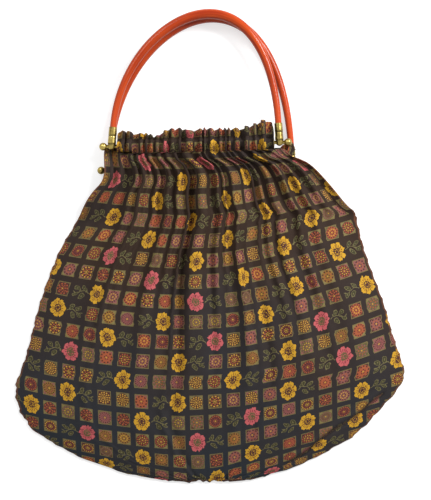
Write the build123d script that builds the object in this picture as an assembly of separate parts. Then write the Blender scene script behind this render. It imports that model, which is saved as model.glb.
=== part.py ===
from build123d import *
import math
import os

# Soft handbag lying on its back: two gathered cloth panels, each hung on a brass rod, and two bent
# plastic handles that swing on the rods. Millimetres. +X to the right as the front is seen, +Y
# towards the handles, +Z up from the surface that the back panel lies on.

# Bag
bag_left = 216.0
bag_right = 216.0
bottom_seam_y = -260.0
slit_end_y = 32.0
cloth = 1.6
seam_gap = 0.3
back_lift = 0.4
crown = 7.0

# Folds: how many, how finely drawn, and how far below the rod they run before they fade
fold_count = 17
points_per_fold = 3
shortest_run = 75.0
further_run = 55.0

# Broad soft swells of the front panel below the folds
swell_count = 7
swell_height = 1.6

# Rods, their balls and the channel that each rod lies in
rod_d = 4.0
channel_gap = 0.3
casing_wall = 1.4
ball_d = 8.6
ball_bite = 5.0
end_play = 0.4

# Front handle and rod
front_rod_y = 112.5
front_rod_z = 20.0
front_shift = -9.1
front_spread = 90.8
front_reach = 136.0
front_rack = 0.1175

# Rear handle and rod
rear_rod_y = 87.5
rear_rod_z = 6.6
rear_shift = -4.2
rear_spread = 100.0
rear_reach = 159.0
rear_rack = 0.0915

# Handle section and the height at which each arch comes to lie
arch_centre_rise = 7.0
grip_d = 11.0
leg_d = 7.8
lie_gap = 0.2

# Brass ferrule on each handle end
ferrule_length = 21.0
ferrule_d = 9.2
groove_depth = 0.5
barrel_taper = 0.2
eye_reach = 3.9
spigot_d = 7.0
spigot_length = 11.0
spigot_gap = 0.1

# Gathered heading above and around each rod
ruffle_height = 15.0
ruffle_swing = 3.6
ruffle_half = 1.2
gather_half = 1.4
gather_drop = 9.0
flute = 2.4
heading_gap = 0.8

# Worked out from the sizes above
channel_d = rod_d + 2 * channel_gap
casing_half = channel_d / 2 + casing_wall
rear_arch_z = grip_d / 2 + lie_gap
front_arch_z = rear_arch_z + grip_d + lie_gap
front_level = back_lift + cloth + seam_gap

# Seam line: share of the way from the slit's end to the bottom, the shares of the left and right
# half widths, and how much of the swells stands there
seam_line = [
    (0.00, 0.66, 0.76, 0.0),
    (0.11, 0.75, 0.80, 0.5),
    (0.31, 0.86, 0.89, 1.0),
    (0.52, 0.95, 0.97, 1.0),
    (0.62, 1.00, 1.00, 0.8),
    (0.70, 0.98, 0.93, 0.6),
    (0.80, 0.90, 0.79, 0.3),
    (0.90, 0.67, 0.59, 0.0),
    (0.96, 0.46, 0.41, 0.0),
    (1.00, 0.17, 0.17, 0.0),
]

# Free edges beside the front slits: share of the way from the rod to the slit's end, then the share
# of the way out from the heading to the seam
front_slit_line = [(0.24, 0.25), (0.60, 0.64)]

# The same for the back panel, with the share of the rod's height that it still stands at
back_slit_line = [(0.38, 0.00, 0.55), (0.62, 0.62, 0.15)]


def slide(low, high, share):
    """Value that lies the given share of the way from low to high."""
    return low + (high - low) * share


def lean(rise, reach, rack):
    """Sideways lean of a handle at a height above its rod, which grows towards the top of the arch."""
    return rack * rise**2 / (reach + arch_centre_rise)


def lean_slope(rise, reach, rack):
    """Slope of that lean."""
    return 2 * rack * rise / (reach + arch_centre_rise)


def arch_point(side, angle, spread, reach, rack, rod_y, shift):
    """Point on the centre line of a leaning half-ellipse handle, angle measured from its foot."""
    rise = arch_centre_rise + reach * math.sin(angle)
    across = shift + lean(rise, reach, rack) + side * spread * math.cos(angle)
    return Vector(across, rod_y + rise, 0)


def foot_angle(reach):
    """Angle on the ellipse at which the handle enters its ferrules."""
    return math.asin((ferrule_length - arch_centre_rise) / reach)


def foot(side, spread, reach, rack, rod_y, shift):
    """Where one leg enters its ferrule, and the direction up the leg there."""
    start = foot_angle(reach)
    here = arch_point(side, start, spread, reach, rack, rod_y, shift)
    slope = lean_slope(ferrule_length, reach, rack) - side * spread * math.tan(start) / reach
    return here, Vector(slope, 1, 0).normalized()


def leg_centre(side, spread, reach, rack, rod_y, shift):
    """Where the line of a leg meets the axis of the rod."""
    here, up = foot(side, spread, reach, rack, rod_y, shift)
    return here - up * (ferrule_length / up.Y)


def lay_down(solid, rod_y, rod_z, arch_z, reach):
    """Lift a flat handle piece to its rod and lean it so that the arch comes to its resting height."""
    drop = math.degrees(math.asin((rod_z - arch_z) / (reach + arch_centre_rise)))
    turned = solid.rotate(Axis((0, rod_y, 0), (1, 0, 0)), -drop)
    return turned.moved(Location((0, 0, rod_z)))


def make_handle(spread, reach, rack, rod_y, shift):
    """Tapered round bar bent to an arch, with a turned-down spigot on each end."""
    start = foot_angle(reach)
    shape = (spread, reach, rack, rod_y, shift)
    stations = 20
    rings = []
    for i in range(stations + 1):
        angle = slide(start, math.pi - start, i / stations)
        here = arch_point(1, angle, *shape)
        if i == 0:
            along = foot(1, *shape)[1]
        elif i == stations:
            along = foot(-1, *shape)[1] * -1
        else:
            up = reach * math.cos(angle)
            rise = arch_centre_rise + reach * math.sin(angle)
            across = lean_slope(rise, reach, rack) * up - spread * math.sin(angle)
            along = Vector(across, up, 0).normalized()
        fatness = math.sin(angle) ** 1.5
        radius = slide(leg_d, grip_d, fatness) / 2
        rings.append(Plane(here, x_dir=(0, 0, 1), z_dir=along) * Circle(radius))
    bar = loft(rings, ruled=True)
    for side in (1, -1):
        here, up = foot(side, *shape)
        spigot = Plane(here, x_dir=(0, 0, 1), z_dir=up * -1) * Cylinder(
            spigot_d / 2, spigot_length, align=(Align.CENTER, Align.CENTER, Align.MIN)
        )
        bar += spigot
    return bar


def make_ferrule(side, spread, reach, rack, rod_y, shift):
    """Turned brass cap: rounded eye for the rod, two grooved barrels and a blind socket."""
    here, up = foot(side, spread, reach, rack, rod_y, shift)
    centre = leg_centre(side, spread, reach, rack, rod_y, shift)
    length = (here - centre).length
    radius = ferrule_d / 2
    waist = radius - groove_depth
    slim = radius - barrel_taper
    dome_level = (waist**2 - eye_reach**2) / (2 * eye_reach)
    dome_half = (dome_level + eye_reach) * math.sin(math.radians(45))
    eye_top = 0.12 * length
    middle = 0.55 * length
    socket_floor = length - spigot_length - spigot_gap
    socket = spigot_d / 2 + spigot_gap
    with BuildPart() as cap:
        with BuildSketch(Plane.XY):
            with BuildLine():
                ThreePointArc((0, -eye_reach), (dome_half, dome_level - dome_half), (waist, 0))
                Polyline(
                    (waist, 0),
                    (waist, eye_top),
                    (radius, eye_top + groove_depth),
                    (slim, middle - groove_depth),
                    (waist, middle),
                    (radius, middle + groove_depth),
                    (slim, length),
                    (socket, length),
                    (socket, socket_floor),
                    (0, socket_floor),
                    (0, -eye_reach),
                )
            make_face()
        revolve(axis=Axis.Y)
    tilt = math.degrees(math.atan2(-up.X, up.Y))
    placed = cap.part.rotate(Axis.Z, tilt).moved(Location(centre))
    eye_bore = Cylinder(channel_d / 2, 3 * ferrule_d, rotation=(0, 90, 0))
    return placed - eye_bore.moved(Location(centre))


def ball_centre(side, spread, reach, rack, rod_y, shift):
    """The ball stands just outside the ferrule on its end of the rod."""
    centre = leg_centre(side, spread, reach, rack, rod_y, shift)
    return centre + Vector(side * (ferrule_d / 2 + end_play + ball_d / 2), 0, 0)


def make_ball(side, centre):
    """Ball nut with a blind hole for the rod's end."""
    ball = Sphere(ball_d / 2)
    mouth = -side * ball_d / 2
    hole = Cylinder(rod_d / 2, ball_bite, rotation=(0, 90, 0))
    hole = hole.moved(Location((mouth + side * ball_bite / 2, 0, 0)))
    return (ball - hole).moved(Location(centre))


def make_rod(left_ball, right_ball):
    """Straight brass rod, bottomed in both balls."""
    inset = ball_d / 2 - ball_bite
    start = left_ball.X - inset
    end = right_ball.X + inset
    rod = Cylinder(rod_d / 2, end - start, rotation=(0, 90, 0))
    return rod.moved(Location(((start + end) / 2, left_ball.Y, left_ball.Z)))


def seam_reach(share):
    """Left and right reach of the seam at a share of the way down, straight between its points."""
    for upper, lower in zip(seam_line, seam_line[1:]):
        if share <= lower[0]:
            part = (share - upper[0]) / (lower[0] - upper[0])
            return (-bag_left * slide(upper[1], lower[1], part), bag_right * slide(upper[2], lower[2], part))
    return (-bag_left * seam_line[-1][1], bag_right * seam_line[-1][2])


def fold_strength(fold, depth):
    """How far one fold still stands, this deep below the rod: some run on further than others."""
    run = shortest_run + further_run * math.cos(2.4 * fold) ** 2
    return (0.75 + 0.25 * math.sin(1.9 * fold)) * math.exp(-((depth / run) ** 1.5))


def section(y, left, right, edge_z, middle_z, half, swing, bulge, depth, swell=0):
    """Closed outline of the panel across the bag at one y: folds of cloth, or the fluted casing."""
    top = []
    bottom = []
    count = fold_count * points_per_fold
    for i in range(count + 1):
        u = i / count
        across = 2 * u - 1
        fold = i // points_per_fold
        wave = -math.cos(2 * math.pi * i / points_per_fold)
        fade = 1 - abs(across) ** 6
        centre = slide(edge_z, middle_z, 1 - abs(across) ** 3)
        broad = swell * math.sin(2 * math.pi * swell_count * u)
        offset = (swing * fold_strength(fold, depth) * wave + broad) * fade
        x = slide(left, right, u)
        top.append((x, y, centre + offset + half + bulge * (1 + wave) / 2))
        bottom.append((x, y, centre + offset - half - bulge * (1 - wave) / 2))
    return Wire.make_polygon(top + bottom[::-1], close=True)


def heading_rows(rod_y, left, right, rod_z):
    """Sections from the ruffle's edge, round the rod, to the gathers just below it."""
    rows = []
    for above, half, swing, bulge in (
        (ruffle_height, ruffle_half, ruffle_swing, 0),
        (ruffle_height / 2, gather_half, 0.7 * ruffle_swing, 0),
        (0, casing_half, 0, flute),
        (-gather_drop, gather_half, 0.8 * ruffle_swing, 0),
    ):
        rows.append(section(rod_y + above, left, right, rod_z, rod_z, half, swing, bulge, 0))
    return rows


def heading_ends(spread, reach, rack, rod_y, shift):
    """Left and right ends of the heading, clear of both leaning ferrules."""
    ends = []
    for side in (-1, 1):
        centre = leg_centre(side, spread, reach, rack, rod_y, shift)
        up = foot(side, spread, reach, rack, rod_y, shift)[1]
        inward = max(0, -side * up.X / up.Y * ruffle_height)
        ends.append(centre.X - side * (ferrule_d / 2 + heading_gap + inward))
    return ends


def make_front_panel():
    """Upper panel: from its ruffle over the rod, domed over the inside, down to the sewn seam."""
    left, right = heading_ends(*front_shape)
    rows = heading_rows(front_rod_y, left, right, front_rod_z)
    slit = front_rod_y - slit_end_y
    seam_left, seam_right = seam_reach(0)
    for share, spreading in front_slit_line:
        edge = slide(front_rod_z, front_level, share**3)
        ends = (slide(left, seam_left, spreading), slide(right, seam_right, spreading))
        depth = share * slit
        rows.append(
            section(front_rod_y - depth, *ends, edge, front_rod_z, cloth / 2, ruffle_swing, 0, depth)
        )
    for share, left_share, right_share, swelling in seam_line:
        y = slide(slit_end_y, bottom_seam_y, share)
        rise = 1 - share
        middle = slide(front_level, front_rod_z, math.sqrt(rise)) + 4 * crown * rise * (1 - rise)
        ends = (-bag_left * left_share, bag_right * right_share)
        depth = front_rod_y - y
        swell = swelling * swell_height
        rows.append(
            section(y, *ends, front_level, middle, cloth / 2, ruffle_swing, 0, depth, swell)
        )
    panel = Solid.make_loft(rows, ruled=True)
    return panel - channel(front_rod_y, front_rod_z)


def make_back_panel():
    """Lower panel: lies flat on the surface and rises to its own rod, with free edges at the slits."""
    left, right = heading_ends(*rear_shape)
    rows = heading_rows(rear_rod_y, left, right, rear_rod_z)
    slit = rear_rod_y - slit_end_y
    seam_left, seam_right = seam_reach(0)
    for share, spreading, level in back_slit_line:
        height = slide(back_lift, rear_rod_z, level)
        ends = (slide(left, seam_left, spreading), slide(right, seam_right, spreading))
        swing = ruffle_swing * slide(0.5, 0.8, level)
        depth = share * slit
        rows.append(section(rear_rod_y - depth, *ends, height, height, cloth / 2, swing, 0, depth))
    for share, left_share, right_share, _ in seam_line:
        y = slide(slit_end_y, bottom_seam_y, share)
        ends = (-bag_left * left_share, bag_right * right_share)
        depth = rear_rod_y - y
        rows.append(section(y, *ends, back_lift, back_lift, cloth / 2, 0.4 * ruffle_swing, 0, depth))
    panel = Solid.make_loft(rows, ruled=True)
    panel = panel - channel(rear_rod_y, rear_rod_z)
    below = Box(3 * bag_left, 4 * bag_left, 20, align=(Align.CENTER, Align.CENTER, Align.MAX))
    return panel - below


def channel(rod_y, rod_z):
    """Tunnel for the rod through the heading."""
    return Cylinder(channel_d / 2, 2 * bag_left, rotation=(0, 90, 0)).moved(Location((0, rod_y, rod_z)))


def hang_set(name, shape, rod_y, rod_z, arch_z, reach):
    """Rod, balls, handle and ferrules of one side."""
    balls = {}
    for label, side in (("left", -1), ("right", 1)):
        centre = ball_centre(side, *shape) + Vector(0, 0, rod_z)
        balls[side] = centre
        export_step(make_ball(side, centre), f"parts/{name}_{label}_ball.step")
        ferrule = lay_down(make_ferrule(side, *shape), rod_y, rod_z, arch_z, reach)
        export_step(ferrule, f"parts/{name}_{label}_ferrule.step")
    export_step(make_rod(balls[-1], balls[1]), f"parts/{name}_rod.step")
    handle = lay_down(make_handle(*shape), rod_y, rod_z, arch_z, reach)
    export_step(handle, f"parts/{name}_handle.step")


front_shape = (front_spread, front_reach, front_rack, front_rod_y, front_shift)
rear_shape = (rear_spread, rear_reach, rear_rack, rear_rod_y, rear_shift)

os.makedirs("parts", exist_ok=True)
hang_set("front", front_shape, front_rod_y, front_rod_z, front_arch_z, front_reach)
hang_set("rear", rear_shape, rear_rod_y, rear_rod_z, rear_arch_z, rear_reach)
export_step(make_front_panel(), "parts/front_panel.step")
export_step(make_back_panel(), "parts/back_panel.step")
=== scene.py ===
import math

import bpy
import numpy as np
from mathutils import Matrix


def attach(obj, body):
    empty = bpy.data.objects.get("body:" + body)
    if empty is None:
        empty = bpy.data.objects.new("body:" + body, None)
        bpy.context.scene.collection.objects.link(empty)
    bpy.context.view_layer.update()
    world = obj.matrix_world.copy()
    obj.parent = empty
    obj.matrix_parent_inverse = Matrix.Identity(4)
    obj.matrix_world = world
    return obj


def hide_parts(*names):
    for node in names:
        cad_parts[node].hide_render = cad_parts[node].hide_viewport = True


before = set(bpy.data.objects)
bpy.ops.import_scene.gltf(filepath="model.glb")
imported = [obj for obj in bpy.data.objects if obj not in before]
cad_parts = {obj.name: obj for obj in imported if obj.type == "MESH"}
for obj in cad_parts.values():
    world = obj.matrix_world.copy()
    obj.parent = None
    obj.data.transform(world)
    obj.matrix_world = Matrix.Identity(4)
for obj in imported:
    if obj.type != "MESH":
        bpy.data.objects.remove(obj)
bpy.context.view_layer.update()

# Handbag lying on its back, two gathered cloth panels on brass rods with swinging bar handles.
# Numbers in the dictionaries are millimetres in the frame's axes; meshes are made in metres.

mm = 0.001
bpy.ops.object.select_all(action="DESELECT")
print("frame loaded:", len(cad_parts), "nodes")


def deselectAll():
    if bpy.context.object and bpy.context.object.mode != "OBJECT":
        bpy.ops.object.mode_set(mode="OBJECT")
    bpy.ops.object.select_all(action="DESELECT")


def pick(obj):
    deselectAll()
    obj.select_set(True)
    bpy.context.view_layer.objects.active = obj


def weld(gap, sharp, turnOut=False):
    # join the picked piece's doubled points and smooth it up to this angle
    bpy.ops.object.mode_set(mode="EDIT")
    bpy.ops.mesh.select_all(action="SELECT")
    bpy.ops.mesh.remove_doubles(threshold=gap * mm)
    if turnOut:
        bpy.ops.mesh.normals_make_consistent(inside=False)
    bpy.ops.object.mode_set(mode="OBJECT")
    bpy.ops.object.shade_smooth_by_angle(angle=math.radians(sharp))


def alongTable(table, where, column=1):
    # smooth curve through the rows of a table whose first column rises
    keys = np.array([row[0] for row in table], float)
    values = np.array([row[column] for row in table], float)
    slopes = np.gradient(values, keys)
    where = np.clip(where, keys[0], keys[-1])
    k = np.clip(np.searchsorted(keys, where) - 1, 0, len(keys) - 2)
    gap = keys[k + 1] - keys[k]
    t = (where - keys[k]) / gap
    return ((2 * t**3 - 3 * t**2 + 1) * values[k] + (t**3 - 2 * t**2 + t) * gap * slopes[k]
            + (3 * t**2 - 2 * t**3) * values[k + 1] + (t**3 - t**2) * gap * slopes[k + 1])


def easeStep(x, start, end):
    t = np.clip((x - start) / (end - start), 0, 1)
    return t * t * (3 - 2 * t)


def rgb(*screen):
    # screen colour 0-255 to linear
    return tuple(c / 255 / 12.92 if c <= 10 else ((c / 255 + 0.055) / 1.055) ** 2.4 for c in screen) + (1,)


# Helpers for the materials. A socket knows its tree, so new nodes go where their values come from.

def newMaterial(name):
    mat = bpy.data.materials.new(name)
    mat.use_nodes = True
    tree = mat.node_tree
    tree.nodes.clear()
    out = tree.nodes.new("ShaderNodeOutputMaterial")
    shader = tree.nodes.new("ShaderNodeBsdfPrincipled")
    tree.links.new(shader.outputs[0], out.inputs[0])
    return mat, tree, shader


def plug(value, socket):
    if isinstance(value, bpy.types.NodeSocket):
        socket.id_data.links.new(value, socket)
    else:
        socket.default_value = value


def addNode(kind, *values, **modes):
    # the values go to the inputs in order, None leaves one as it is
    tree = next(value.id_data for value in values if isinstance(value, bpy.types.NodeSocket))
    node = tree.nodes.new("ShaderNode" + kind)
    for key, mode in modes.items():
        setattr(node, key, mode)
    for socket, value in zip(node.inputs, values):
        if value is not None:
            plug(value, socket)
    return node


def calc(operation, *values):
    return addNode("Math", *values, operation=operation).outputs[0]


def times(first, second):
    return calc("MULTIPLY", first, second)


def plus(first, second):
    return calc("ADD", first, second)


def above(value, edge):
    return calc("GREATER_THAN", value, edge)


def within(value, edge):
    return calc("LESS_THAN", value, edge)


def wave(value, rate):
    return calc("SINE", times(value, rate))


def farOut(x, y):
    return calc("SQRT", plus(calc("POWER", x, 2.0), calc("POWER", y, 2.0)))


def blendColour(share, first, second, mode="MIX"):
    # a Mix node's first five other inputs are for numbers and vectors
    others = [None] * 5
    return addNode("Mix", share, *others, first, second, data_type="RGBA", blend_type=mode).outputs[2]


def stepped(value, stops, tones):
    # flat fields of colour, one for each range of the value
    node = addNode("ValToRGB", value)
    node.color_ramp.interpolation = "CONSTANT"
    bar = node.color_ramp.elements
    while len(bar) < len(stops):
        bar.new(0.5)
    for element, (place, tone) in zip(bar, stops):
        element.position = place
        element.color = tones[tone]
    return node.outputs[0]


def noise(where, scale, detail=2.0, rough=0.5):
    node = where.id_data.nodes.new("ShaderNodeTexNoise")
    for key, value in (("Vector", where), ("Scale", scale), ("Detail", detail), ("Roughness", rough)):
        plug(value, node.inputs[key])
    return node


def grain(where, *settings):
    return noise(where, *settings).outputs["Fac"]


def spread(value, fromLow, fromHigh, toLow, toHigh):
    return addNode("MapRange", value, fromLow, fromHigh, toLow, toHigh).outputs[0]


def bumped(height, strength, distance):
    node = height.id_data.nodes.new("ShaderNodeBump")
    for key, value in (("Strength", strength), ("Distance", distance), ("Height", height)):
        plug(value, node.inputs[key])
    return node.outputs[0]


def setShine(shader, settings):
    for key, value in settings.items():
        shader.inputs[key].default_value = value


def painted(tree, name):
    node = tree.nodes.new("ShaderNodeAttribute")
    node.attribute_name = name
    return node.outputs["Fac"]


def scaledUV(tree, name, scale):
    node = tree.nodes.new("ShaderNodeUVMap")
    node.uv_map = name
    sized = addNode("Mapping", node.outputs[0])
    sized.inputs["Scale"].default_value = scale
    return sized.outputs[0]


# Printed cloth.
clothPrint = {
    "uvSize": 500.0,  # millimetres of cloth across the whole UV square
    "uvMiddle": 250.0,
    "uvTop": 0.985,
    "slipDown": 0.7,  # how a turned edge shifts the print downwards too
    "leastFall": 0.2,
    "pitchU": 20.4,
    "pitchV": 22.4,
    "squareU": 7.25,
    "squareV": 7.85,
    "repeat": 12.0,  # cells after which a row's flowers come again
    "rowShift": 3.37,  # cells that each row is shifted against the one below
    "flowers": (0, 6),  # cells of the repeat
    "sprigs": (1, 5),
    "ground": rgb(48, 35, 27),
    "groundBlue": rgb(36, 41, 47),
    # painted shade colour for the creases and seams
    "creaseShadeTone": rgb(34, 21, 14),
    "khaki": rgb(120, 108, 66),
    "olive": rgb(88, 79, 50),
    "rust": rgb(152, 80, 52),
    "mauve": rgb(128, 80, 74),
    "gold": rgb(178, 136, 56),
    "goldDull": rgb(134, 98, 46),
    "brown": rgb(72, 42, 38),
    "yellow": rgb(192, 146, 42),
    "yellowDark": rgb(118, 74, 36),
    "pink": rgb(182, 88, 90),
    "pinkDark": rgb(112, 46, 52),
    "leaf": rgb(58, 55, 36),
    "leafEdge": rgb(106, 98, 64),
    "thread": rgb(74, 56, 46),
    "rubbed": rgb(118, 70, 46),
}

medallion = {
    "field": ((0, "khaki"), (0.3, "olive"), (0.55, "brown"), (0.8, "mauve")),
    "disc": ((0, "mauve"), (0.2, "brown"), (0.4, "rust"), (0.55, "brown"), (0.72, "olive"),
             (0.87, "goldDull")),
    "ray": ((0, "brown"), (0.2, "gold"), (0.4, "brown"), (0.55, "rust"), (0.72, "mauve"), (0.87, "brown")),
    "heart": ((0, "rust"), (0.4, "gold"), (0.7, "pinkDark")),
    "frameFrom": 0.87,  # share of the square's half side
    "radius": 7.0,
    "dashes": (3.0, 3.0, 10.0),  # 10, 13 or 16 in the outer ring
    "rings": ((5.7, 0.75, 1.0), (3.7, 0.6, 0.6667), (2.0, 0.55, 0.5)),  # radius, half width, share of dashes
    "dashFrom": -0.15,
    "dot": 0.9,
    "trim": (0.93, 0.035),
    "trimRate": 4.2,
    "trimFrom": 0.2,
}

flowerShape = {
    "crookedScale": 0.24,
    "crooked": (4.0, -2.0),
    "squash": 0.84,
    "teeth": 17.0,
    "lobes": 3.5,
    "lobeRound": 0.45,
    "petals": (2.2, 6.8),
    "ragged": 0.3,
    "pinkFrom": 0.62,
    "groove": (0.4, 4.4),
    "rim": (5.6, 0.9),
    "rimFrom": 0.45,
    "eye": (0.5, 4.0),
    "seeds": (2.1, 0.6),
    "seedRate": 8.0,
    "seedFrom": 0.3,
}

sprigShape = {
    "stemRate": 0.34,
    "stemSwing": 1.6,
    "stemHalf": 0.45,
    "stemEnd": 8.2,
    "leaves": (((-4.6, 4.2), 0.9, (4.0, 2.3)), ((-2.2, -4.6), -0.8, (4.2, 2.2)),
               ((3.2, 3.4), 0.55, (4.0, 2.1)), ((5.2, -3.4), -0.5, (3.6, 1.8))),  # place, lean, half size
    "edgeFrom": 0.62,
    "veinTo": 0.06,
}

clothLook = {
    "driftScale": 7.0,
    "slant": (0.35, 0.05),  # the ground turns bluer towards the lower left
    "coolBetween": (0.03, -0.17, 0.0, 0.85),
    "coolDrift": (0.42, 0.62, -0.15, 0.25),
    "warp": 0.55,  # from thread to thread
    "weft": 0.6,
    "weaveTone": 0.05,
    "patches": (0.9, 4.0, 0.7),
    "patchTone": (0.3, 0.7, 0.84, 1.12),
    "patchRough": (0.3, 0.7, 0.68, 0.86),
    # share of painted shade in the creases and seams
    "creaseShadeShare": 0.5,
    "stitchRate": 2.4,
    "stitchFrom": 0.1,
    "stitchedFrom": 0.72,
    "stitch": 0.8,
    "rubbed": 0.55,
    "slub": (2.4, 3.0),
    "weaveHigh": 0.5,
    "bump": (0.35, 0.00012),
    "shine": {
        "Specular IOR Level": 0.16,
        "Sheen Weight": 0.03,
        "Sheen Roughness": 0.45,
        "Sheen Tint": (0.8, 0.72, 0.7, 1),
    },
}


def leafShape(x, y, place, lean, size):
    cosLean, sinLean = math.cos(lean), math.sin(lean)
    dx = calc("SUBTRACT", x, place[0])
    dy = calc("SUBTRACT", y, place[1])
    along = plus(times(dx, cosLean), times(dy, sinLean))
    across = calc("SUBTRACT", times(dy, cosLean), times(dx, sinLean))
    a = calc("POWER", calc("DIVIDE", along, size[0]), 2.0)
    b = calc("POWER", calc("DIVIDE", across, size[1]), 2.0)
    return plus(a, b)


def printCell(u, v, c):
    # place of a point in its cell of the print, the cell's turn in the repeat, three draws for it
    cellU = calc("DIVIDE", u, c["pitchU"])
    cellV = calc("DIVIDE", v, c["pitchV"])
    column = calc("FLOOR", cellU)
    row = calc("FLOOR", cellV)
    x = times(calc("SUBTRACT", calc("FRACT", cellU), 0.5), c["pitchU"])
    y = times(calc("SUBTRACT", calc("FRACT", cellV), 0.5), c["pitchV"])
    shift = calc("FLOOR", times(row, c["rowShift"]))
    turn = calc("FLOORED_MODULO", plus(column, shift), c["repeat"])
    cell = addNode("CombineXYZ", column, row).outputs[0]
    dice = addNode("TexWhiteNoise", cell, noise_dimensions="2D")
    draws = addNode("SeparateColor", dice.outputs["Color"]).outputs
    return x, y, turn, draws


def squareMotif(x, y, draws, c):
    # square with a round medallion of short dashes
    m = medallion
    radius = farOut(x, y)
    angle = calc("ARCTAN2", y, x)
    sideX = calc("DIVIDE", calc("ABSOLUTE", x), c["squareU"])
    sideY = calc("DIVIDE", calc("ABSOLUTE", y), c["squareV"])
    side = calc("MAXIMUM", sideX, sideY)
    field = stepped(draws[1], m["field"], c)
    disc = stepped(draws[2], m["disc"], c)
    ray = stepped(draws[2], m["ray"], c)
    heart = stepped(draws[0], m["heart"], c)
    kinds, more, fewest = m["dashes"]
    dashes = calc("MULTIPLY_ADD", calc("FLOOR", times(draws[0], kinds)), more, fewest)
    ink = blendColour(above(side, m["frameFrom"]), field, c["khaki"])
    ink = blendColour(within(radius, m["radius"]), ink, disc)
    for (middle, half, share), tone in zip(m["rings"], (ray, heart, ray)):
        around = wave(angle, calc("ROUND", times(dashes, share)))
        dash = times(calc("COMPARE", radius, middle, half), above(around, m["dashFrom"]))
        ink = blendColour(dash, ink, tone)
    ink = blendColour(within(radius, m["dot"]), ink, c["gold"])
    stitch = wave(plus(x, y), m["trimRate"])
    trim = times(calc("COMPARE", side, *m["trim"]), above(stitch, m["trimFrom"]))
    return blendColour(trim, ink, c["brown"]), within(side, 1.0)


def flowerMotif(x, y, draws, c):
    # open flower with ragged petals
    f = flowerShape
    tall = times(y, f["squash"])
    radius = farOut(x, tall)
    angle = plus(calc("ARCTAN2", tall, x), times(draws[1], 6.28))
    ragged = wave(angle, f["teeth"])
    lobes = calc("POWER", calc("ABSOLUTE", wave(angle, f["lobes"])), f["lobeRound"])
    reach = plus(calc("MULTIPLY_ADD", lobes, *f["petals"]), times(ragged, f["ragged"]))
    isPink = above(draws[0], f["pinkFrom"])
    petal = blendColour(isPink, c["yellow"], c["pink"])
    dark = blendColour(isPink, c["yellowDark"], c["pinkDark"])
    groove = times(within(lobes, f["groove"][0]), above(radius, f["groove"][1]))
    rim = times(calc("COMPARE", radius, *f["rim"]), above(ragged, f["rimFrom"]))
    ink = blendColour(calc("MAXIMUM", groove, rim), petal, dark)
    eye = plus(times(ragged, f["eye"][0]), f["eye"][1])
    eyeTone = blendColour(isPink, c["brown"], c["olive"])
    ink = blendColour(within(radius, eye), ink, eyeTone)
    seeds = above(wave(angle, f["seedRate"]), f["seedFrom"])
    seeds = times(seeds, calc("COMPARE", radius, *f["seeds"]))
    return blendColour(seeds, ink, petal), within(radius, reach)


def sprigMotif(x, y, side, c):
    # sprig of leaves beside a flower, its stem towards the flower
    s = sprigShape
    away = times(x, side)
    stemLine = plus(y, times(wave(away, s["stemRate"]), s["stemSwing"]))
    stem = within(calc("ABSOLUTE", stemLine), s["stemHalf"])
    stem = times(stem, within(away, s["stemEnd"]))
    leaves = 2.0
    for place, lean, size in s["leaves"]:
        leaves = calc("MINIMUM", leaves, leafShape(away, y, place, lean, size))
    lines = calc("MAXIMUM", above(leaves, s["edgeFrom"]), within(leaves, s["veinTo"]))
    ink = blendColour(lines, c["leaf"], c["leafEdge"])
    return ink, calc("MAXIMUM", within(leaves, 1.0), stem)


def printedColour(where, u, v, ground, c):
    # the motifs laid over the ground
    x, y, turn, draws = printCell(u, v, c)
    isKind = [calc("COMPARE", turn, float(k), 0.25) for k in c["flowers"] + c["sprigs"]]
    isFlower = plus(isKind[0], isKind[1])
    isSprig = plus(isKind[2], isKind[3])
    isSquare = calc("SUBTRACT", 1.0, plus(isFlower, isSprig))
    square = squareMotif(x, y, draws, c)
    # flowers and sprigs are drawn a little crooked
    wander = noise(where, flowerShape["crookedScale"])
    crooked = addNode("SeparateColor", wander.outputs["Color"]).outputs
    x = plus(x, calc("MULTIPLY_ADD", crooked[0], *flowerShape["crooked"]))
    y = plus(y, calc("MULTIPLY_ADD", crooked[1], *flowerShape["crooked"]))
    flower = flowerMotif(x, y, draws, c)
    sprig = sprigMotif(x, y, calc("SUBTRACT", isKind[2], isKind[3]), c)
    for isHere, (ink, inside) in ((isSquare, square), (isFlower, flower), (isSprig, sprig)):
        ground = blendColour(times(isHere, inside), ground, ink)
    return ground


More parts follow.
